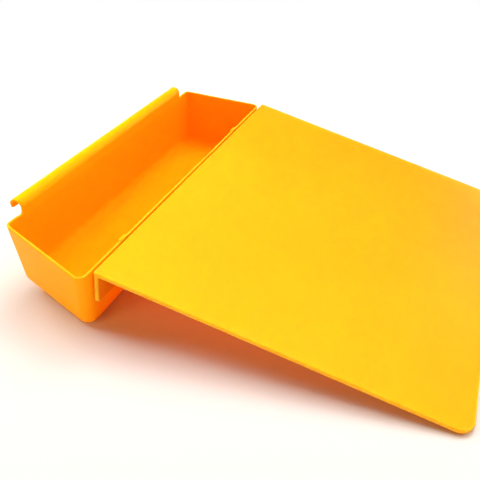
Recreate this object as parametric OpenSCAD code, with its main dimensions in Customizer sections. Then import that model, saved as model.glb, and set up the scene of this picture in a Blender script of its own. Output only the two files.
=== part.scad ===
// Kitchen cutting board with a clip-on catch tray.
// The board is a thin sheet with one long edge folded down into a flange that
// bears on a worktop edge. The tray is a deep, thin-walled trough. Its board-side
// wall carries two snap beads that sit in keyhole windows in the flange, so the
// tray can be tilted up and pulled off. Its far wall rises into a hanging hook.
// Here the pair stands on a table (z = 0): the board's free edge and the tray's
// inner foot edge touch it, so the board lies at a shallow incline.

/* [Board] */
// Length of the board along the folded edge
board_l = 330; // [280:1:400]
// Width of the board from the folded edge to the free edge
board_w = 303; // [240:0.5:360]
// Thickness of the sheet
board_t = 5; // [4.5:0.1:7]
// Radius of the free corners in plan
board_corner_r = 13; // [6:0.5:30]
// Outside radius of the fold
fold_r = 1.5; // [1.5:0.1:3.6]

/* [Flange] */
// Overall depth of the flange below the board's top face
flange_d = 35.8; // [26:0.2:46]
// Thickness of the flange
flange_t = 3.8; // [3.6:0.1:4.6]
// Radius of the flange's bottom corners
flange_corner_r = 6; // [3:0.5:12]

/* [Tray] */
// Length of the tray rim on the board side
tray_l = 338; // [290:0.5:400]
// Width of the tray rim from the board side to the hook side
tray_w = 85; // [70:0.5:110]
// Depth of the tray from rim to base
tray_d = 65.5; // [50:0.5:72]
// How much each end of the rim steps in towards the hook side
tray_taper = 24.5; // [0:0.5:30]
// Wall thickness of the tray
wall = 1.9; // [1.6:0.1:2.4]
// Outside radius of the upright corners at the rim
tray_corner_r = 6; // [5:0.5:16]
// Outside radius where the walls run into the base
tray_foot_r = 9; // [6:0.5:9]
// Inward draft of each long wall over the full depth
draft_long = 1.8; // [0.5:0.1:4]
// Inward draft of each end wall over the full depth
draft_end = 5.5; // [1:0.1:8]
// Gap between the tray wall and the flange, with both upright
tray_gap = 1.0; // [1.0:0.1:2.2]
// Position of the tray's middle along the fold, from the board's middle
tray_shift = -9; // [-12:0.5:12]
// Sag of the tray against the flange, degrees
tray_droop = 3.0; // [0:0.1:3]

/* [Hanging hook] */
// Length of the hook rail
rail_l = 252; // [180:1:258]
// Clear width inside the hook
hook_gap = 8; // [5:0.1:12]
// Height of the hook's crown above the rim
hook_rise = 10.5; // [9.5:0.5:26]
// Straight length of the hook's outer lip
lip_l = 3.6; // [3:0.5:12]
// Radius of the relief notch at each end of the rail
notch_r = 2.4; // [1.5:0.1:3]

/* [Snap beads] */
// Length of each bead
bead_l = 8; // [6:0.5:14]
// Radius of each bead
bead_r = 1.6; // [1.4:0.05:1.65]
// First bead, measured along the fold from the board's middle
bead_y1 = -122; // [-130:1:-60]
// Second bead, measured along the fold from the board's middle
bead_y2 = 87; // [60:1:130]

/* [Hidden] */
fine = 64;
hull_fn = 40;

board_col = [1.00, 0.78, 0.10];
tray_col = [1.00, 0.62, 0.03];

edge_r = 1;                        // rounding of the board's free edges
lip_r = 1.2;                       // rounding of the flange's lower lip
bend_r = 1.5;                      // inside radius of the fold
bead_x = 2.2;                      // bead axis, in from the flange's outer face
bead_z = -board_t - 1.6;           // bead axis, below the board's top face
mouth_d = 0.7;                     // depth of the keyhole's narrow mouth
notch_up = 1.6;                    // height of the notch's centre above the rim

// plan of the tray, design position (board level, tray parallel to it)
half_r = tray_l / 2;
taper_a = atan(tray_taper / tray_w);
x_right = -tray_gap;
x_left = -tray_gap - tray_w;

// y of a corner circle's centre: radius r at x, end wall set in by s
function corner_y(x, r, s) = half_r - s + (x - x_right) * tan(taper_a) - r / cos(taper_a);

// hook section
ro = hook_gap / 2 + wall;
hook_cx = x_left - hook_gap / 2;
hook_cz = hook_rise - ro;
tip_x = x_left - hook_gap - wall / 2;
tip_z = hook_cz - lip_l;

// turn a point [x, z] about the Y axis by angle a
function turn(p, a) = [p[0] * cos(a) + p[1] * sin(a), -p[0] * sin(a) + p[1] * cos(a)];
function drooped(p) = [bead_x, bead_z] + turn(p - [bead_x, bead_z], -tray_droop);

// incline at which the free edge and the tray's inner foot edge both touch z = 0
foot = drooped([x_right - draft_long - tray_foot_r, -(tray_d - tray_foot_r)]);
P = board_w - edge_r - foot[0];
Q = board_t - edge_r + foot[1];
incline = asin((tray_foot_r - edge_r) / sqrt(P * P + Q * Q)) - atan2(Q, P);
lift = (board_w - edge_r) * sin(incline) + (board_t - edge_r) * cos(incline) + edge_r;

// centre of the footprint
x_max = (board_w - edge_r) * cos(incline) - edge_r * sin(incline) + edge_r;
x_min = turn(drooped([tip_x, tip_z]), incline)[0] - wall / 2;
y_near = tray_shift - (corner_y(x_right - tray_corner_r, tray_corner_r, 0) + tray_corner_r);
y_far = max(board_l / 2, tray_shift + corner_y(x_right - tray_corner_r, tray_corner_r, 0) + tray_corner_r);
x0 = -(x_max + x_min) / 2;
y0 = -(max(board_l / 2, y_far) + min(-board_l / 2, y_near)) / 2;

// places the design position in the standing position
module standing() translate([x0, y0, lift]) rotate([0, incline, 0]) children();
module drooping() translate([bead_x, 0, bead_z]) rotate([0, -tray_droop, 0]) translate([-bead_x, 0, -bead_z]) children();

// extrudes a section drawn as [x, z] along Y, from y1 over length l
module along_y(y1, l) translate([0, y1 + l, 0]) rotate([90, 0, 0]) linear_extrude(height = l) children();

// ---- board ---------------------------------------------------------------

// L-shaped section: sheet, fold and flange
module board_section() {
    difference() {
        union() {
            // sheet
            translate([fold_r, -board_t]) square([board_w - fold_r - edge_r, board_t]);
            translate([board_w - edge_r - 0.01, -board_t + edge_r]) square([edge_r + 0.01, board_t - 2 * edge_r]);
            translate([board_w - edge_r, -edge_r]) circle(r = edge_r, $fn = fine);
            translate([board_w - edge_r, -board_t + edge_r]) circle(r = edge_r, $fn = fine);
            // fold
            translate([fold_r, -fold_r]) circle(r = fold_r, $fn = fine);
            translate([0, -board_t - bend_r]) square([flange_t + bend_r, board_t + bend_r - fold_r]);
            translate([fold_r, -board_t - bend_r]) square([flange_t + bend_r - fold_r, board_t + bend_r]);
            // flange
            translate([0, -flange_d + lip_r]) square([flange_t, flange_d - lip_r - fold_r]);
            translate([lip_r, -flange_d]) square([flange_t - 2 * lip_r, lip_r + 0.01]);
            translate([lip_r, -flange_d + lip_r]) circle(r = lip_r, $fn = fine);
            translate([flange_t - lip_r, -flange_d + lip_r]) circle(r = lip_r, $fn = fine);
        }
        // inside of the fold
        translate([flange_t + bend_r, -board_t - bend_r]) circle(r = bend_r, $fn = fine);
    }
}

// keyhole window for one bead: narrow mouth outside, wide seat inside
module keyhole(y) {
    l = bead_l + 2;
    translate([-1, y - l / 2, bead_z - 1.2]) cube([1 + mouth_d + 0.01, l, 2.8]);
    translate([mouth_d, y - l / 2, bead_z - 2]) cube([flange_t + bend_r + 1 - mouth_d, l, 2 + 1.6 - 0.02]);
    translate([mouth_d, y - l / 2, bead_z - 2]) cube([flange_t - mouth_d, l, 4]);
}

// squares off everything outside a rounded corner of radius r, corner at the
// origin with the body towards -X and -Y, over height h
module corner_cut(r, h) {
    difference() {
        translate([-r, -r, 0]) cube([r + 1, r + 1, h]);
        translate([-r, -r, -1]) cylinder(r = r, h = h + 2, $fn = fine);
    }
}

module cutting_board() color(board_col) standing() difference() {
    along_y(-board_l / 2, board_l) board_section();
    for (s = [-1, 1]) {
        // free corners of the sheet
        mirror_y(s) translate([board_w, board_l / 2, -board_t - 1]) corner_cut(board_corner_r, board_t + 2);
        // bottom corners of the flange
        mirror_y(s) translate([-1, board_l / 2, -flange_d]) rotate([0, 90, 0]) corner_cut(flange_corner_r, flange_t + 2);
    }
    keyhole(bead_y1);
    keyhole(bead_y2);
}

// mirrors across the XZ plane when s is negative
module mirror_y(s) { if (s < 0) mirror([0, 1, 0]) children(); else children(); }

// ---- tray ----------------------------------------------------------------

// drafted trough, grown inwards by k from the outer skin; top cap height up
module trough(k, up) {
    hull() for (s = [-1, 1]) {
        for (x = [x_right - tray_corner_r, x_left + tray_corner_r])
            translate([x, s * corner_y(x, tray_corner_r, 0), -0.01])
                cylinder(r = tray_corner_r - k, h = 0.01 + up, $fn = hull_fn);
        for (x = [x_right - draft_long - tray_foot_r, x_left + draft_long + tray_foot_r])
            translate([x, s * corner_y(x, tray_foot_r, draft_end), -tray_d + tray_foot_r])
                sphere(r = tray_foot_r - k, $fn = hull_fn);
    }
}

// J-shaped section of the hanging hook
module hook_section() {
    translate([x_left + 0.1, -0.5]) square([wall - 0.2, hook_cz + 0.5]);
    difference() {
        translate([hook_cx, hook_cz]) circle(r = ro, $fn = fine);
        translate([hook_cx, hook_cz]) circle(r = hook_gap / 2 + 0.1, $fn = fine);
        translate([hook_cx - ro - 1, hook_cz - ro - 1]) square([2 * ro + 2, ro + 1]);
    }
    translate([x_left - hook_gap - wall, tip_z]) square([wall - 0.1, lip_l + 0.01]);
    translate([x_left - hook_gap - wall / 2 - 0.05, tip_z]) circle(r = wall / 2 - 0.05, $fn = fine);
}

// one snap bead with its neck and the pad that carries it on the rim
module bead(y) {
    // pad through the wall, a little proud of the rim and of the inner face
    translate([x_right - wall - 1.3, y - bead_l / 2, -11]) cube([wall + 1.1, bead_l, 11.7]);
    // neck
    translate([x_right - 0.6, y - bead_l / 2, bead_z - 0.7]) cube([bead_x - x_right + 0.6, bead_l, 1.4]);
    // bead
    translate([bead_x, y + bead_l / 2, bead_z]) rotate([90, 0, 0]) cylinder(r = bead_r, h = bead_l, $fn = fine);
}

module catch_tray() color(tray_col) standing() drooping() {
    difference() {
        union() {
            translate([0, tray_shift, 0]) difference() {
                trough(0, 0);
                trough(wall, 1);
            }
            along_y(tray_shift - rail_l / 2, rail_l) hook_section();
            // web that fills the corner between the rim and each end of the rail
            for (s = [-1, 1])
                translate([x_left + 0.1, tray_shift + s * (rail_l / 2 + notch_r / 2 - 0.05) - notch_r / 2, -0.5])
                    cube([wall - 0.2, notch_r, 0.5 + notch_up - 0.2]);
        }
        // rounded relief notch in the rim at each end of the rail
        for (s = [-1, 1])
            translate([x_left - 1, tray_shift + s * (rail_l / 2 + notch_r), notch_up])
                rotate([0, 90, 0]) cylinder(r = notch_r, h = wall + 2, $fn = fine);
    }
    bead(bead_y1);
    bead(bead_y2);
}

cutting_board();
catch_tray();
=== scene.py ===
import math

import bmesh
import bpy
from mathutils import Matrix, Vector


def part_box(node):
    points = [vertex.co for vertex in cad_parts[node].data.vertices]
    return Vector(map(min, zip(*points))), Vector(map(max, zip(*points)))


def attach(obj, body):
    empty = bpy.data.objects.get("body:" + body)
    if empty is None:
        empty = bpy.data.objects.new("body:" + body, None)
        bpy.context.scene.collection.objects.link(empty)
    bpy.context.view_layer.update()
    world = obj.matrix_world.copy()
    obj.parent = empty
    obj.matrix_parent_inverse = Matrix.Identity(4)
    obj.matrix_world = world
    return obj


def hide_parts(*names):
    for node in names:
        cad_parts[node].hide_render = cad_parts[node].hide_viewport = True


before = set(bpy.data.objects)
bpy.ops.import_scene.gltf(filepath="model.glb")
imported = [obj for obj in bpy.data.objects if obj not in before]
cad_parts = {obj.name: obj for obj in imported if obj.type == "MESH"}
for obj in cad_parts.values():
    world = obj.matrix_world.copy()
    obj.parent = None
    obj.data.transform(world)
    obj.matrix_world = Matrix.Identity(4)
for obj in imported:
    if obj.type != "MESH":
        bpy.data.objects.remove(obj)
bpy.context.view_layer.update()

# --------------------------------------------------------------------------
# the part's own dimensions, in millimetres, as in part.scad
# --------------------------------------------------------------------------
BOARD_L, BOARD_W, BOARD_T = 330.0, 303.0, 5.0
CORNER_R, FOLD_R, BEND_R = 13.0, 1.5, 1.5
FLANGE_D, FLANGE_T, FLANGE_CR = 35.8, 3.8, 6.0
TRAY_L, TRAY_W, TRAY_D, TAPER = 338.0, 85.0, 65.5, 24.5
WALL, TRAY_CR, FOOT_R = 1.9, 6.0, 9.0
DRAFT_LONG, DRAFT_END = 1.8, 5.5
GAP, SHIFT, DROOP = 1.0, -9.0, math.radians(3.0)
RAIL_L, HOOK_GAP, HOOK_RISE, LIP_L, NOTCH_R, NOTCH_UP = 252.0, 8.0, 10.5, 3.6, 2.4, 1.6
BEAD_L, BEAD_R, BEAD_X, BEAD_Z, MOUTH_D = 8.0, 1.6, 2.2, -6.6, 0.7
BEADS = (-122.0, 87.0)
EDGE_R, LIP_R = 1.0, 1.2

X_LEFT, X_RIGHT = -GAP - TRAY_W, -GAP
HALF = TRAY_L / 2
TAPER_A = math.atan(TAPER / TRAY_W)
RO = HOOK_GAP / 2 + WALL
HOOK_CX, HOOK_CZ = X_LEFT - HOOK_GAP / 2, HOOK_RISE - RO


def turn(x, z, a):
    return x * math.cos(a) + z * math.sin(a), -x * math.sin(a) + z * math.cos(a)


def drooped(x, z):
    dx, dz = turn(x - BEAD_X, z - BEAD_Z, -DROOP)
    return BEAD_X + dx, BEAD_Z + dz


_foot = drooped(X_RIGHT - DRAFT_LONG - FOOT_R, -(TRAY_D - FOOT_R))
_P = BOARD_W - EDGE_R - _foot[0]
_Q = BOARD_T - EDGE_R + _foot[1]
INCLINE = math.asin((FOOT_R - EDGE_R) / math.hypot(_P, _Q)) - math.atan2(_Q, _P)
LIFT = (BOARD_W - EDGE_R) * math.sin(INCLINE) + (BOARD_T - EDGE_R) * math.cos(INCLINE) + EDGE_R

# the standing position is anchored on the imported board, not typed in
_blo, _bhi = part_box("cutting_board")
X0 = _bhi.x * 1000 - ((BOARD_W - EDGE_R) * math.cos(INCLINE) - EDGE_R * math.sin(INCLINE) + EDGE_R)
Y0 = (_blo.y + _bhi.y) * 500


def stand(p):
    """design position (board level, millimetres) to the shared frame (metres)"""
    x, z = turn(p[0], p[2], INCLINE)
    return Vector(((x + X0) / 1000, (p[1] + Y0) / 1000, (z + LIFT) / 1000))


def stand_tray(p):
    x, z = drooped(p[0], p[2])
    return stand((x, p[1], z))


def new_mesh(name, verts, faces, wear_and_highlight=None, inside=None):
    me = bpy.data.meshes.new(name)
    me.from_pydata([tuple(v) for v in verts], [], faces)
    # per-point mask of pale rubbed-edge wear and painted edge highlight
    if wear_and_highlight is not None:
        at = me.attributes.new("wear_and_highlight", "FLOAT", "POINT")
        at.data.foreach_set("value", [float(w) for w in wear_and_highlight])
    # per-point weight of painted shade
    if inside is not None:
        at = me.attributes.new("inside", "FLOAT", "POINT")
        at.data.foreach_set("value", [float(w) for w in inside])
    me.validate()
    me.update()
    ob = bpy.data.objects.new(name, me)
    bpy.context.scene.collection.objects.link(ob)
    return ob


def settle(ob, merge=1e-6):
    """merges doubled points and makes every face look outwards"""
    bm = bmesh.new()
    bm.from_mesh(ob.data)
    bmesh.ops.remove_doubles(bm, verts=bm.verts, dist=merge)
    bmesh.ops.dissolve_degenerate(bm, dist=merge, edges=bm.edges)
    bmesh.ops.recalc_face_normals(bm, faces=bm.faces)
    bm.to_mesh(ob.data)
    bm.free()
    for p in ob.data.polygons:
        p.use_smooth = True
    ob.data.update()


def apply_modifiers(ob):
    dg = bpy.context.evaluated_depsgraph_get()
    me = bpy.data.meshes.new_from_object(ob.evaluated_get(dg), preserve_all_data_layers=True, depsgraph=dg)
    old = ob.data
    name = old.name
    ob.modifiers.clear()
    ob.data = me
    bpy.data.meshes.remove(old)
    me.name = name


# --------------------------------------------------------------------------
# board: one folded sheet, built unfolded in (s, v) and then mapped
# --------------------------------------------------------------------------
S_FLAT = BOARD_W - (FLANGE_T + BEND_R)                # sheet, free edge to the fold
Z_FOLD = BOARD_T + BEND_R
_o1 = FLANGE_T + BEND_R - FOLD_R                      # outer straight before the arc
_o2 = math.pi / 2 * FOLD_R
_o3 = Z_FOLD - FOLD_R                                 # outer straight after the arc
S_FOLD = _o1 + _o2 + _o3
S_ALL = S_FLAT + S_FOLD + FLANGE_D - Z_FOLD


def outer_path(s):
    if s <= S_FLAT + _o1:
        return BOARD_W - s, 0.0
    s -= S_FLAT + _o1
    if s <= _o2:
        a = s / FOLD_R
        return FOLD_R - FOLD_R * math.sin(a), -FOLD_R + FOLD_R * math.cos(a)
    return 0.0, -FOLD_R - (s - _o2)


def inner_path(s):
    if s <= S_FLAT:
        return BOARD_W - s, -BOARD_T
    if s <= S_FLAT + S_FOLD:
        a = (s - S_FLAT) / S_FOLD * math.pi / 2
        return FLANGE_T + BEND_R - BEND_R * math.sin(a), -Z_FOLD + BEND_R * math.cos(a)
    return FLANGE_T, -Z_FOLD - (s - S_FLAT - S_FOLD)


def board_point(s, v, depth):
    """depth: 0 on the top (outer) face, 1 on the under (inner) face"""
    a, b = outer_path(s), inner_path(s)
    return a[0] * (1 - depth) + b[0] * depth, v, a[1] * (1 - depth) + b[1] * depth


def thickness(s):
    a, b = outer_path(s), inner_path(s)
    return math.hypot(a[0] - b[0], a[1] - b[1])


def make_board():
    e = 1.7
    half = BOARD_L / 2
    rows = []
    n = 12
    r0, r1 = CORNER_R - e, FLANGE_CR - e
    for i in range(n + 1):                            # free corners
        a = i / n * math.pi / 2
        rows.append((e + r0 - r0 * math.cos(a), half - e - r0 + r0 * math.sin(a)))
    s, k = e + r0, 30
    stop = S_FLAT - 1.0
    for i in range(1, k + 1):                         # sheet
        rows.append((s + (stop - s) * i / k, half - e))
    for i in range(1, 23):                            # fold
        rows.append((stop + (S_FLAT + S_FOLD + 1.0 - stop) * i / 22, half - e))
    s = S_FLAT + S_FOLD + 1.0
    stop = S_ALL - e - r1
    for i in range(1, 7):
        rows.append((s + (stop - s) * i / 6, half - e))
    for i in range(1, n + 1):                         # flange corners
        a = i / n * math.pi / 2
        rows.append((stop + r1 * math.sin(a), half - e - r1 + r1 * math.cos(a)))
    m = 34
    verts, faces, wear_and_highlight, under = [], [], [], []
    top, bot = [], []
    for s, vm in rows:
        a, b = [], []
        for j in range(m + 1):
            v = -vm + 2 * vm * j / m
            a.append(len(verts)); verts.append(board_point(s, v, 0)); wear_and_highlight.append(0.15 if j in (0, m) else 0); under.append(0)
            # the under face carries a painted-shade weight of 3.5, deepening its colour for the shade beneath the
            # board
            b.append(len(verts)); verts.append(board_point(s, v, 1)); wear_and_highlight.append(0.15 if j in (0, m) else 0); under.append(3.5)
        top.append(a); bot.append(b)
    for g, flip in ((top, False), (bot, True)):
        for i in range(len(rows) - 1):
            for j in range(m):
                q = [g[i][j], g[i][j + 1], g[i + 1][j + 1], g[i + 1][j]]
                faces.append(q[::-1] if flip else q)
    # ordered boundary of the inset outline, with outward directions in (s, v)
    loop = [(0, j) for j in range(m + 1)] + [(i, m) for i in range(1, len(rows))]
    loop += [(len(rows) - 1, j) for j in range(m - 1, -1, -1)] + [(i, 0) for i in range(len(rows) - 2, 0, -1)]
    pts = [(rows[i][0], -rows[i][1] + 2 * rows[i][1] * j / m) for i, j in loop]
    count = len(pts)
    dirs = []
    for k in range(count):
        a, b = pts[k - 1], pts[(k + 1) % count]
        ds, dv = b[0] - a[0], b[1] - a[1]
        length = math.hypot(ds, dv) or 1.0
        dirs.append((-dv / length, ds / length))
    steps = 5
    ring = [[] for _ in range(count)]
    for k in range(count):
        s, v = pts[k]
        ns, nv = dirs[k]
        t = thickness(min(max(s, 0), S_ALL))
        prof = []
        for i in range(1, steps + 1):
            a = i / steps * math.pi / 2
            prof.append((e * math.sin(a), e * (1 - math.cos(a))))
        prof.append((e, t / 2))
        for i in range(steps, 0, -1):
            a = i / steps * math.pi / 2
            prof.append((e * math.sin(a), t - e * (1 - math.cos(a))))
        ids = [top[loop[k][0]][loop[k][1]]]
        for out, w in prof:
            ids.append(len(verts))
            verts.append(board_point(s + ns * out, v + nv * out, w / t))
            # edge ring: full mask of pale wear and painted edge highlight
            wear_and_highlight.append(1.0 if abs(w - t / 2) > t / 2 - 0.9 * e else 0.8)
            under.append(0)
        ids.append(bot[loop[k][0]][loop[k][1]])
        ring[k] = ids
    for k in range(count):
        a, b = ring[k], ring[(k + 1) % count]
        for i in range(len(a) - 1):
            faces.append([a[i], a[i + 1], b[i + 1], b[i]])
    ob = new_mesh("board_panel", [stand(p) for p in verts], faces, wear_and_highlight, under)
    settle(ob, 2e-6)

    # the two keyhole windows, cut through the fold and the flange
    for k, y in enumerate(BEADS):
        length = BEAD_L + 2
        boxes = [
            ((-1.0, MOUTH_D + 0.05), (BEAD_Z - 1.2, BEAD_Z + 1.6)),
            ((MOUTH_D, FLANGE_T + BEND_R + 1.0), (BEAD_Z - 2.0, BEAD_Z + 1.58)),
            ((MOUTH_D + 0.01, FLANGE_T), (BEAD_Z - 1.9, BEAD_Z + 2.0)),
        ]
        for q, ((xa, xb), (za, zb)) in enumerate(boxes):
            cut = new_mesh("cut_%d_%d" % (k, q), [stand((x, y + t * length / 2, z)) for x in (xa, xb) for t in (-1, 1) for z in (za, zb)],
                           [[0, 1, 3, 2], [4, 6, 7, 5], [0, 4, 5, 1], [2, 3, 7, 6], [0, 2, 6, 4], [1, 5, 7, 3]])
            settle(cut)
            mod = ob.modifiers.new("cut", "BOOLEAN")
            mod.operation, mod.solver, mod.object = "DIFFERENCE", "EXACT", cut
            apply_modifiers(ob)
            me = cut.data
            bpy.data.objects.remove(cut)
            bpy.data.meshes.remove(me)
    ob.data.shade_smooth() if hasattr(ob.data, "shade_smooth") else None
    ob.data.set_sharp_from_angle(angle=math.radians(50))
    return ob


# --------------------------------------------------------------------------
# tray: one thin shell, lofted column by column round its trapezoid outline
# --------------------------------------------------------------------------
def corner_y(x, r, s):
    return HALF - s + (x - X_RIGHT) * math.tan(TAPER_A) - r / math.cos(TAPER_A)


T_UP = HOOK_CZ                                        # straight part of the hook's wall
R_MID = RO - 0.9
H_RIM, H_HOOK = 0.93, 0.9
T_ARC = math.pi * R_MID
T_TIP = T_UP + T_ARC + LIP_L                          # middle of the lip's rounded tip


def hook_mid(t):
    """middle line of the hook wall above the rim: position (x, z) and outward side (x, z)"""
    if t <= T_UP:
        return (X_LEFT + 1.0, t), (-1.0, 0.0)
    t -= T_UP
    if t <= T_ARC:
        a = t / R_MID
        return (HOOK_CX + R_MID * math.cos(a), HOOK_CZ + R_MID * math.sin(a)), (-math.cos(a), -math.sin(a))
    t -= T_ARC
    return (HOOK_CX - R_MID, HOOK_CZ - t), (1.0, 0.0)


class Column:
    """one vertical slice of the tray wall"""

    def __init__(self, ctop, cbot, normal):
        self.n = normal
        self.outer = self.skin(ctop, cbot, TRAY_CR, FOOT_R)
        self.inner = self.skin(ctop, cbot, TRAY_CR - WALL, FOOT_R - WALL)
        self.cbot = cbot

    def skin(self, ctop, cbot, rt, rf):
        n = self.n
        top = Vector((ctop[0] + rt * n[0], ctop[1] + rt * n[1], 0.0))
        lift = -(TRAY_D - FOOT_R)
        # slope of this slice's wall, measured along its own outward direction
        reach = (ctop[0] - cbot[0]) * n[0] + (ctop[1] - cbot[1]) * n[1] + rt - rf
        phi = math.atan2(reach, -lift)
        foot = Vector((cbot[0] + rf * math.cos(phi) * n[0], cbot[1] + rf * math.cos(phi) * n[1], lift - rf * math.sin(phi)))
        return top, foot, phi, rf, lift

    def wall(self, skin, t):
        """t: height above the rim, negative going down"""
        top, foot = skin[0], skin[1]
        return top + (foot - top) * (t / foot.z)

    def fillet(self, skin, f):
        top, foot, phi, rf, lift = skin
        a = phi + (math.pi / 2 - phi) * f
        return Vector((self.cbot[0] + rf * math.cos(a) * self.n[0], self.cbot[1] + rf * math.cos(a) * self.n[1], lift - rf * math.sin(a)))


def smoothstep(x):
    x = min(max(x, 0.0), 1.0)
    return x * x * (3 - 2 * x)


def tray_columns():
    """columns round the outline, with kind: 'rim', 'notch' or 'rail', and the height of the inset rim"""
    xr, xl = X_RIGHT - TRAY_CR, X_LEFT + TRAY_CR
    bxr, bxl = X_RIGHT - DRAFT_LONG - FOOT_R, X_LEFT + DRAFT_LONG + FOOT_R
    T = {}
    for name, x, bx in (("r", xr, bxr), ("l", xl, bxl)):
        T[name] = ((x, corner_y(x, TRAY_CR, 0)), (bx, corner_y(bx, FOOT_R, DRAFT_END)))
    out = []

    def add(ctop, cbot, ang, kind="rim", t=-H_RIM):
        out.append((Column((ctop[0], ctop[1] + SHIFT), (cbot[0], cbot[1] + SHIFT), (math.cos(ang), math.sin(ang))), kind, t))

    def corner(name, sign, a0, a1, n):
        (cx, cy), (bx, by) = T[name]
        for i in range(n + 1):
            add((cx, sign * cy), (bx, sign * by), a0 + (a1 - a0) * i / n)

    def side(a, sa, b, sb, ang, fr):
        (ax, ay), (abx, aby) = T[a]
        (bx, by), (bbx, bby) = T[b]
        for f in fr:
            add((ax + (bx - ax) * f, sa * ay + (sb * by - sa * ay) * f),
                (abx + (bbx - abx) * f, sa * aby + (sb * bby - sa * aby) * f), ang)

    q = math.pi / 2
    slant = TAPER_A
    # start on the near right corner and walk: right side (towards the board) -> far end -> rail side -> near end
    corner("r", -1, -q - slant * 0 - slant, 0.0, 14) if False else None
    # near end wall faces -y (and -x because of the taper)
    corner("r", -1, -q - slant, 0.0, 14)
    side("r", -1, "r", 1, 0.0, [i / 44 for i in range(1, 44)])
    corner("r", 1, 0.0, q + slant, 14)
    side("r", 1, "l", 1, q + slant, [i / 12 for i in range(1, 12)])
    corner("l", 1, q + slant, math.pi, 12)
    # rail side, from far (+y) to near (-y)
    (cx, cy), (bx, by) = T["l"]
    end = RAIL_L / 2

    def rail_col(y, kind, t):
        f = y / cy
        add((cx, y), (bx, by * f), math.pi, kind, t)

    r_in = NOTCH_R + H_RIM
    seq = []
    hi = cy
    for i in range(1, 3):
        y = hi + (end + 7.2 - hi) * i / 3
        if y < hi:
            seq.append((y, "rim", -H_RIM))
    low = NOTCH_UP - r_in
    for i in range(8):
        d = 7.2 + (NOTCH_R - 7.2) * i / 8
        seq.append((end + d, "notch", low + (-H_RIM - low) * smoothstep((d - NOTCH_R) / 4.8)))
    for i in range(0, 10):
        a = i / 10 * math.pi / 2
        seq.append((end + NOTCH_R - r_in * math.sin(a), "notch", NOTCH_UP - r_in * math.cos(a)))
    seq.append((end + NOTCH_R - r_in, "rail", NOTCH_UP))
    far = list(seq)
    last = far[-1][0]
    mid = [(last - 2 * last * i / 46, "rail", NOTCH_UP) for i in range(1, 46)]
    near = [(-y, k, t) for y, k, t in reversed(far)]
    for y, k, t in far + mid + near:
        rail_col(y, k, t)
    corner("l", -1, math.pi, 1.5 * math.pi - slant, 12)
    side("l", -1, "r", -1, -q - slant, [i / 12 for i in range(1, 12)])
    return out


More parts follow.
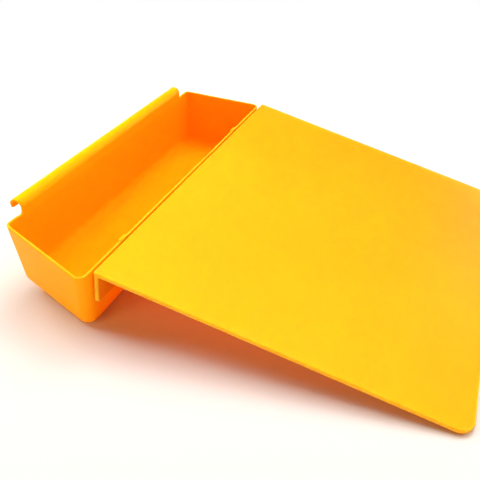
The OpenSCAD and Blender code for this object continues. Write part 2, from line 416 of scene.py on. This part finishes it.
def make_tray():
    cols = tray_columns()
    n = len(cols)
    verts, faces, wear_and_highlight, inside = [], [], [], []

    def put(p, w=0.0, deep=0.0):
        verts.append(tuple(p)); wear_and_highlight.append(w); inside.append(deep)
        return len(verts) - 1

    # lower block: rows from the floor ring up to the inset rim, on both skins
    fil, rows = 9, 16
    grids = []
    for which in ("outer", "inner"):
        g = []
        for col, kind, t_top in cols:
            skin = getattr(col, which)
            # painted shade: the inner skin carries a weight that deepens its colour, strongest at the floor and
            # fading out towards the rim
            deep = 1.0 if which == "inner" else 0.0
            ids = [put(col.fillet(skin, 1 - i / fil), 0.0, deep * (1.0 + 1.3 * (1 - i / fil))) for i in range(fil)]
            z_foot = skin[1].z
            for i in range(rows + 1):
                f = i / rows
                t = z_foot + (t_top - z_foot) * f
                p = col.wall(skin, t)
                if t > -6.0 and kind == "rail":
                    (mx, mz), (sx, sz) = hook_mid(max(t, 0.0))
                    side = 1 if which == "outer" else -1
                    want = mx + side * sx * H_HOOK
                    k = smoothstep((t + 6.0) / 6.0)
                    p.x = p.x * (1 - k) + want * k
                ids.append(put(p, 0.0, deep * smoothstep(-t / 7.0)))
            g.append(ids)
        grids.append(g)
        for c in range(n):
            a, b = g[c], g[(c + 1) % n]
            for i in range(len(a) - 1):
                faces.append([a[i], b[i], b[i + 1], a[i + 1]])
        faces.append([g[c][0] for c in range(n)])
    go, gi = grids

    # upper block: the rolled hook, only on the rail's columns
    rail = [c for c in range(n) if cols[c][1] == "rail"]
    y_of = {c: cols[c][0].outer[0].y for c in rail}
    ts = [NOTCH_UP + (T_UP - NOTCH_UP) * i / 3 for i in range(1, 4)]
    ts += [T_UP + T_ARC * i / 22 for i in range(1, 23)]
    tip_r = 1.6                                       # corner of the lip, seen flat
    lip = [T_UP + T_ARC + (T_TIP - tip_r - T_UP - T_ARC) * i / 3 for i in range(1, 4)]
    arc = [(T_TIP - tip_r + tip_r * math.sin(i / 6 * math.pi / 2), tip_r - tip_r * math.cos(i / 6 * math.pi / 2)) for i in range(1, 7)]
    levels = [(t, 0.0) for t in ts + lip] + arc
    ymax, ymin = max(y_of.values()), min(y_of.values())
    ymid, yhalf = (ymax + ymin) / 2, (ymax - ymin) / 2
    up = []
    for which, side in (("outer", 1), ("inner", -1)):
        g = {}
        for c in rail:
            base = (go if which == "outer" else gi)[c][-1]
            ids = [base]
            for t, shrink in levels:
                (mx, mz), (sx, sz) = hook_mid(t)
                y = ymid + (y_of[c] - ymid) * (yhalf - shrink) / yhalf
                ids.append(put((mx + side * sx * H_HOOK, y, mz + side * sz * H_HOOK)))
            g[c] = ids
        for a, b in zip(rail[:-1], rail[1:]):
            for i in range(len(levels)):
                faces.append([g[a][i], g[b][i], g[b][i + 1], g[a][i + 1]])
        up.append(g)

    # boundary of the wall: (outer id, inner id, flat position, mapper)
    chain = []

    def rim_entry(c):
        return (go[c][-1], gi[c][-1])

    order = []
    c0 = rail[0]
    for c in range(n):
        if c == rail[0]:
            for i in range(len(levels) + 1):
                order.append((up[0][c][i], up[1][c][i]))
        elif c == rail[-1]:
            for i in range(len(levels), -1, -1):
                order.append((up[0][c][i], up[1][c][i]))
        elif c in y_of:
            order.append((up[0][c][-1], up[1][c][-1]))
        else:
            order.append(rim_entry(c))
    count = len(order)
    mids = [(Vector(verts[a]) + Vector(verts[b])) / 2 for a, b in order]
    halfs = [(Vector(verts[a]) - Vector(verts[b])) / 2 for a, b in order]
    steps = 8
    power = 2 / 2.5
    rings = []
    for k in range(count):
        tangent = mids[(k + 1) % count] - mids[k - 1]
        if tangent.length < 1e-9:
            tangent = mids[(k + 1) % count] - mids[k]
        tangent.normalize()
        w = halfs[k]
        out = w.cross(tangent)
        out.normalize()
        if k == 0:
            sign = 1.0 if out.z > 0 else -1.0
        out *= sign
        h = w.length
        # the cross product is only the same way round if the skins are; its sign is set once, from the first ring,
        # so that it points up there
        ids = [order[k][0]]
        for i in range(1, steps):
            a = i / steps * math.pi
            ca, sa = math.cos(a), math.sin(a)
            lw = math.copysign(abs(ca) ** power, ca)
            lo = abs(sa) ** power
            ids.append(put(mids[k] + w * lw + out * h * lo, 1.0 if 2 <= i <= steps - 2 else 0.7))
        ids.append(order[k][1])
        rings.append(ids)
    for k in range(count):
        a, b = rings[k], rings[(k + 1) % count]
        for i in range(steps):
            faces.append([a[i], a[i + 1], b[i + 1], b[i]])
    ob = new_mesh("tray_shell", [stand_tray(p) for p in verts], faces, wear_and_highlight, inside)
    settle(ob, 3e-6)
    ob.data.set_sharp_from_angle(angle=math.radians(60))
    return ob


def make_clip(name, y):
    """pad on the rim, neck and snap bead, as one soft-edged moulding"""
    pts = []

    def arc(cx, cz, r, a0, a1, n):
        for i in range(n + 1):
            a = math.radians(a0 + (a1 - a0) * i / n)
            pts.append((cx + r * math.cos(a), cz + r * math.sin(a)))

    xi, xo, zt, zb = X_RIGHT - WALL - 1.3, X_RIGHT - 0.2, 0.7, -11.0
    arc(xi + 0.8, zb + 0.8, 0.8, 270, 180, 5)
    arc(xi + 1.2, zt - 1.2, 1.2, 180, 90, 7)
    arc(xo - 0.9, zt - 0.9, 0.9, 90, 0, 6)
    a = math.degrees(math.asin(0.7 / BEAD_R))
    pts.append((xo, BEAD_Z + 1.1))
    pts.append((xo + 0.15, BEAD_Z + 0.78))
    pts.append((xo + 0.5, BEAD_Z + 0.7))
    arc(BEAD_X, BEAD_Z, BEAD_R, 180 - a, -180 + a, 22)
    pts.append((xo + 0.5, BEAD_Z - 0.7))
    pts.append((xo + 0.15, BEAD_Z - 0.78))
    pts.append((xo, BEAD_Z - 1.1))
    arc(xo - 0.5, zb + 0.5, 0.5, 0, -90, 4)
    m = len(pts)
    e = 0.55
    layers = []
    for i in range(6):
        a = i / 5 * math.pi / 2
        layers.append((-BEAD_L / 2 + e * (1 - math.sin(a)), e * (1 - math.cos(a))))
    layers = layers[::1]
    layers = [(-BEAD_L / 2 + e * (1 - math.cos(i / 5 * math.pi / 2)), e * (1 - math.sin(i / 5 * math.pi / 2))) for i in range(6)]
    layers += [(-BEAD_L / 4, 0.0), (0.0, 0.0), (BEAD_L / 4, 0.0)]
    layers += [(-l, d) for l, d in layers[5::-1]]
    # inward directions of the section
    area = sum(pts[i][0] * pts[(i + 1) % m][1] - pts[(i + 1) % m][0] * pts[i][1] for i in range(m))
    s = 1 if area > 0 else -1
    inward = []
    for i in range(m):
        ax, az = pts[i - 1]
        bx, bz = pts[(i + 1) % m]
        dx, dz = bx - ax, bz - az
        length = math.hypot(dx, dz) or 1
        inward.append((-dz / length * s, dx / length * s))
    verts, faces, wear_and_highlight = [], [], []
    for ly, d in layers:
        for i in range(m):
            verts.append((pts[i][0] + inward[i][0] * d, y + ly, pts[i][1] + inward[i][1] * d))
            wear_and_highlight.append(0.7 if d > 0.02 else 0.25)
    for k in range(len(layers) - 1):
        for i in range(m):
            j = (i + 1) % m
            faces.append([k * m + i, k * m + j, (k + 1) * m + j, (k + 1) * m + i])
    faces.append(list(range(m)))
    faces.append([(len(layers) - 1) * m + i for i in range(m)])
    ob = new_mesh(name, [stand_tray(p) for p in verts], faces, wear_and_highlight)
    settle(ob, 1e-7)
    ob.data.set_sharp_from_angle(angle=math.radians(50))
    return ob


# --------------------------------------------------------------------------
# materials
# --------------------------------------------------------------------------
def plastic(name, base, deep, pale, rough, seed, grain=1.0, sss=0.6, shine=0.10, edge=None, rub_and_highlight_range=(0.15, 0.6)):
    """moulded polypropylene: satin skin, faint flow variation, fine grain, pale rubbed edges, plus painted shade
    (deeper towards the far end, inside the trough, under the board) and a painted edge highlight
    """
    mat = bpy.data.materials.new(name)
    mat.use_nodes = True
    nt = mat.node_tree
    nt.nodes.clear()
    N, L = nt.nodes.new, nt.links.new
    out = N("ShaderNodeOutputMaterial")
    b = N("ShaderNodeBsdfPrincipled")
    L(b.outputs[0], out.inputs[0])
    tc = N("ShaderNodeTexCoord")
    mp = N("ShaderNodeMapping")
    mp.inputs["Location"].default_value = (seed * 0.37, seed * 0.11, seed * 0.23)
    L(tc.outputs["Object"], mp.inputs["Vector"])

    def noise(scale, detail=3.0, roughness=0.5, distortion=0.0):
        t = N("ShaderNodeTexNoise")
        t.inputs["Scale"].default_value = scale
        t.inputs["Detail"].default_value = detail
        t.inputs["Roughness"].default_value = roughness
        t.inputs["Distortion"].default_value = distortion
        L(mp.outputs[0], t.inputs["Vector"])
        return t.outputs["Fac"]

    def remap(v, a, b_, c, d):
        r = N("ShaderNodeMapRange")
        r.inputs["From Min"].default_value = a
        r.inputs["From Max"].default_value = b_
        r.inputs["To Min"].default_value = c
        r.inputs["To Max"].default_value = d
        L(v, r.inputs["Value"])
        return r.outputs["Result"]

    def mix(fac, ca, cb):
        m = N("ShaderNodeMix")
        m.data_type = "RGBA"
        L(fac, m.inputs["Factor"])
        for sock, c in ((m.inputs["A"], ca), (m.inputs["B"], cb)):
            pass
        ins = [i for i in m.inputs if i.type == "RGBA"]
        for sock, c in zip(ins, (ca, cb)):
            if isinstance(c, tuple):
                sock.default_value = (*c, 1)
            else:
                L(c, sock)
        return [o for o in m.outputs if o.type == "RGBA"][0]

    def math_(op, a, c):
        m = N("ShaderNodeMath")
        m.operation = op
        for sock, v in zip(m.inputs, (a, c)):
            if isinstance(v, (int, float)):
                sock.default_value = v
            else:
                L(v, sock)
        return m.outputs[0]

    wear_and_highlight = N("ShaderNodeAttribute")
    wear_and_highlight.attribute_name = "wear_and_highlight"
    wear_and_highlight_fac = wear_and_highlight.outputs["Fac"]

    flow = noise(7.0, 4.0, 0.55, 0.6)                 # pigment and flow, hand-sized
    fleck = noise(620.0, 2.0, 0.6)                    # fine speckle of the pigment
    skin = noise(1500.0, 2.0, 0.55)                   # spark-eroded skin of the mould, well under a millimetre
    swell = noise(26.0, 2.0, 0.4)                     # faint sink and swell of a moulded wall

    # painted shade: the colour turns deeper towards the far end (+y) and a little towards +x, standing in for
    # light falling off there, with soft random flow marks on top
    sep = N("ShaderNodeSeparateXYZ")
    L(tc.outputs["Object"], sep.inputs[0])
    far_shade_and_flow = math_("ADD", math_("MULTIPLY", sep.outputs["Y"], 1.0), math_("MULTIPLY", sep.outputs["X"], 0.35))
    far_shade_and_flow = remap(far_shade_and_flow, -0.17, 0.19, 1.0, 0.12)
    far_shade_and_flow = math_("ADD", far_shade_and_flow, remap(flow, 0.3, 0.7, -0.10, 0.10))
    col = mix(far_shade_and_flow, deep, base)
    col = mix(remap(fleck, 0.35, 0.75, 0.0, 0.10), col, pale)
    # painted shade: the tray's inner walls and floor and the board's under face take a deeper colour, for the
    # shade inside the trough and beneath the board
    painted_shade_attr = N("ShaderNodeAttribute")
    painted_shade_attr.attribute_name = "inside"
    col = mix(math_("MULTIPLY", painted_shade_attr.outputs["Fac"], 0.26), col, (0.97, 0.27, 0.001))
    # pale rubbed edges, plain wear on the tray; with the board's strong rub range and brighter edge colour this is
    # also a painted highlight along the board's edges
    rub_and_highlight = math_("MULTIPLY", wear_and_highlight_fac, remap(noise(85.0, 4.0, 0.6), 0.35, 0.7, rub_and_highlight_range[0], rub_and_highlight_range[1]))
    col = mix(rub_and_highlight, col, edge or pale)
    L(col, b.inputs["Base Color"])

    r = remap(noise(55.0, 5.0, 0.6), 0.3, 0.7, rough - 0.03, rough + 0.045)
    r = math_("ADD", r, math_("MULTIPLY", skin, 0.03))
    r = math_("ADD", r, math_("MULTIPLY", rub_and_highlight, 0.10))
    L(r, b.inputs["Roughness"])

    b1 = N("ShaderNodeBump")
    b1.inputs["Strength"].default_value = 0.35
    b1.inputs["Distance"].default_value = 0.00035
    L(swell, b1.inputs["Height"])
    b2 = N("ShaderNodeBump")
    b2.inputs["Strength"].default_value = 0.16 * grain
    b2.inputs["Distance"].default_value = 0.00006
    L(skin, b2.inputs["Height"])
    L(b1.outputs["Normal"], b2.inputs["Normal"])
    L(b2.outputs["Normal"], b.inputs["Normal"])

    b.inputs["IOR"].default_value = 1.49
    b.inputs["Specular IOR Level"].default_value = shine
    if sss:
        b.subsurface_method = "RANDOM_WALK"
        b.inputs["Subsurface Weight"].default_value = sss
        b.inputs["Subsurface Radius"].default_value = (1.0, 0.14, 0.01)
        b.inputs["Subsurface Scale"].default_value = 0.008
    return mat


# DEEP, and the tray's second colour below, is the colour of the painted far-end shade and of the flow marks
BASE = (0.97, 0.480, 0.010)
DEEP = (0.97, 0.300, 0.003)
PALE = (0.98, 0.56, 0.030)
# the board's rub range (0.5, 0.85) and edge colour (0.99, 0.70, 0.03) paint a bright highlight band along its
# edges, on top of pale rubbed-edge wear
board_mat = plastic("board_satin", BASE, DEEP, PALE, 0.36, 1, 1.0, 0.6, 0.10, (0.99, 0.70, 0.03), (0.5, 0.85))
tray_mat = plastic("tray_satin", (0.97, 0.50, 0.004), (0.97, 0.38, 0.003), PALE, 0.33, 5, 0.8, 0.6, 0.025)

board = make_board()
tray = make_tray()
clips = [make_clip("clip_near", BEADS[0]), make_clip("clip_far", BEADS[1])]

board.data.materials.clear(); board.data.materials.append(board_mat)
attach(board, "board")
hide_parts("cutting_board")
for o in [tray] + clips:
    o.data.materials.clear(); o.data.materials.append(tray_mat)
    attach(o, "tray")
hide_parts("catch_tray")
for o, m in ((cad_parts["cutting_board"], board_mat), (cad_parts["catch_tray"], tray_mat)):
    if o.data.materials:
        for i in range(len(o.data.materials)):
            o.data.materials[i] = m
    else:
        o.data.materials.append(m)

# --------------------------------------------------------------------------
# studio: pale floor, soft light, camera
# --------------------------------------------------------------------------
WALLS, CEILING = 1.82, 0.0
fl = bpy.data.materials.new("studio_floor")
fl.use_nodes = True
nt = fl.node_tree
bs = nt.nodes["Principled BSDF"]
bs.inputs["Base Color"].default_value = (0.74, 0.74, 0.74, 1)
bs.inputs["Roughness"].default_value = 0.7
bs.inputs["Specular IOR Level"].default_value = 0.1
ftc = nt.nodes.new("ShaderNodeTexCoord")              # far off, the floor runs into a white sweep
fln = nt.nodes.new("ShaderNodeVectorMath")
fln.operation = "LENGTH"
nt.links.new(ftc.outputs["Object"], fln.inputs[0])
fmr = nt.nodes.new("ShaderNodeMapRange")
fmr.interpolation_type = "SMOOTHSTEP"
fmr.inputs["From Min"].default_value = 0.45
fmr.inputs["From Max"].default_value = 0.95
nt.links.new(fln.outputs["Value"], fmr.inputs["Value"])
flp = nt.nodes.new("ShaderNodeLightPath")
fmu = nt.nodes.new("ShaderNodeMath")
fmu.operation = "MULTIPLY"
nt.links.new(fmr.outputs["Result"], fmu.inputs[0])
nt.links.new(flp.outputs["Is Camera Ray"], fmu.inputs[1])
sweep = nt.nodes.new("ShaderNodeEmission")
sweep.inputs["Color"].default_value = (1.0, 1.0, 1.0, 1)
sweep.inputs["Strength"].default_value = 1.0
fmx = nt.nodes.new("ShaderNodeMixShader")
nt.links.new(fmu.outputs[0], fmx.inputs[0])
nt.links.new(bs.outputs[0], fmx.inputs[1])
nt.links.new(sweep.outputs[0], fmx.inputs[2])
nt.links.new(fmx.outputs[0], nt.nodes["Material Output"].inputs["Surface"])
floor = new_mesh("studio_floor", [(-8, -6, 0), (8, -6, 0), (8, 10, 0), (-8, 10, 0)], [[0, 1, 2, 3]])
floor.data.materials.append(fl)

world = bpy.data.worlds.new("studio")
bpy.context.scene.world = world
world.use_nodes = True
wn = world.node_tree
bg = wn.nodes["Background"]
bg.inputs["Color"].default_value = (1.0, 0.440, 0.265, 1)
wtc = wn.nodes.new("ShaderNodeTexCoord")
wsp = wn.nodes.new("ShaderNodeSeparateXYZ")
wmr = wn.nodes.new("ShaderNodeMapRange")              # low warm walls, dark ceiling
wmr.interpolation_type = "SMOOTHSTEP"
wmr.inputs["From Min"].default_value = 0.06
wmr.inputs["From Max"].default_value = 0.50
wmr.inputs["To Min"].default_value = WALLS
wmr.inputs["To Max"].default_value = CEILING
wn.links.new(wtc.outputs["Generated"], wsp.inputs[0])
wn.links.new(wsp.outputs["Z"], wmr.inputs["Value"])
wn.links.new(wmr.outputs["Result"], bg.inputs["Strength"])
pale = wn.nodes.new("ShaderNodeBackground")           # what is seen behind the floor's far edge
pale.inputs["Color"].default_value = (1.0, 1.0, 1.0, 1)
pale.inputs["Strength"].default_value = 1.0
wlp = wn.nodes.new("ShaderNodeLightPath")
wmx = wn.nodes.new("ShaderNodeMixShader")
wn.links.new(wlp.outputs["Is Camera Ray"], wmx.inputs[0])
wn.links.new(bg.outputs[0], wmx.inputs[1])
wn.links.new(pale.outputs[0], wmx.inputs[2])
wn.links.new(wmx.outputs[0], wn.nodes["World Output"].inputs["Surface"])


def area(name, loc, target, size, power, size_y=None, color=(1, 1, 1)):
    d = bpy.data.lights.new(name, "AREA")
    d.shape = "RECTANGLE"
    d.size, d.size_y = size, size_y or size
    d.energy = power
    d.color = color
    o = bpy.data.objects.new(name, d)
    o.location = loc
    o.rotation_mode = "QUATERNION"
    o.rotation_quaternion = (Vector(target) - Vector(loc)).to_track_quat("-Z", "Y")
    bpy.context.scene.collection.objects.link(o)
    return o


NEUTRAL = (1.0, 1.0, 0.97)
for name, loc, target, size, power in (
        ("soft_top", (0.0, 0.45, 1.8), (0.0, 0.1, 0.0), 1.3, 22.0),
        ("soft_rear", (0.0, 0.75, 1.3), (0.0, 0.1, 0.0), 0.7, 8.0),
        ("soft_left", (-1.0, 0.0, 1.0), (-0.1, 0.0, 0.03), 0.8, 11.5),
        ("soft_right", (0.9, 0.1, 1.1), (0.0, 0.0, 0.03), 0.8, 5.5)):
    o = area(name, loc, target, size, power, None, NEUTRAL)
    o.visible_glossy = False                          # matt-fronted boxes: light without hot spots
back = area("soft_back", (0.1, 1.75, 1.5), (0.1, 1.35, 0.0), 1.8, 3.5, None, NEUTRAL)
back.data.spread = math.radians(110)
back.visible_glossy = False
near = area("warm_near", (-0.5, -1.2, 0.9), (-0.08, -0.1, 0.03), 0.8, 6.0, None, (1.0, 0.42, 0.12))
near.visible_glossy = False
under = area("glow_under", stand((BOARD_W * 0.45, 0.0, -BOARD_T - 3.0)), stand((BOARD_W * 0.45, 0.0, -BOARD_T - 60.0)), 0.20, 0.08, 0.26, (1.0, 0.10, 0.0))
under.visible_glossy = False                          # the warm light a thin sheet lets through
under.visible_camera = False
card = area("glare_card", (0.80, 1.45, 0.32), (0.20, 0.16, 0.04), 0.5, 7.0, 0.28)
card.visible_diffuse = False

bpy.context.scene.cycles.diffuse_bounces = 10
bpy.context.scene.cycles.max_bounces = 14

cam = bpy.data.cameras.new("camera")
cam_o = bpy.data.objects.new("camera", cam)
bpy.context.scene.collection.objects.link(cam_o)
yaw, pitch, roll = 0.26209826, 0.66616759, -0.07382470
fwd0 = Vector((-math.sin(yaw), math.cos(yaw), 0))
right = Vector((math.cos(yaw), math.sin(yaw), 0))
upw = Vector((0, 0, 1))
fwd = fwd0 * math.cos(pitch) - upw * math.sin(pitch)
down = -(upw * math.cos(pitch) + fwd0 * math.sin(pitch))
r2 = right * math.cos(roll) + down * math.sin(roll)
d2 = -right * math.sin(roll) + down * math.cos(roll)
where = Vector((237.97628 + X0, -238.26062 + Y0 - BOARD_L / 2, 338.92977)) / 1000
cam_o.matrix_world = Matrix((
    (r2.x, -d2.x, -fwd.x, where.x),
    (r2.y, -d2.y, -fwd.y, where.y),
    (r2.z, -d2.z, -fwd.z, where.z),
    (0, 0, 0, 1)))
cam.sensor_fit = "HORIZONTAL"
cam.sensor_width = 36.0
cam.lens = 533.8583 / 480 * 36.0
cam.shift_x = -80 / 480
cam.clip_start, cam.clip_end = 0.01, 50
bpy.context.scene.camera = cam_o

vs = bpy.context.scene.view_settings
vs.view_transform = "Standard"
vs.look = "None"
vs.exposure = 0.0
vs.gamma = 1.0
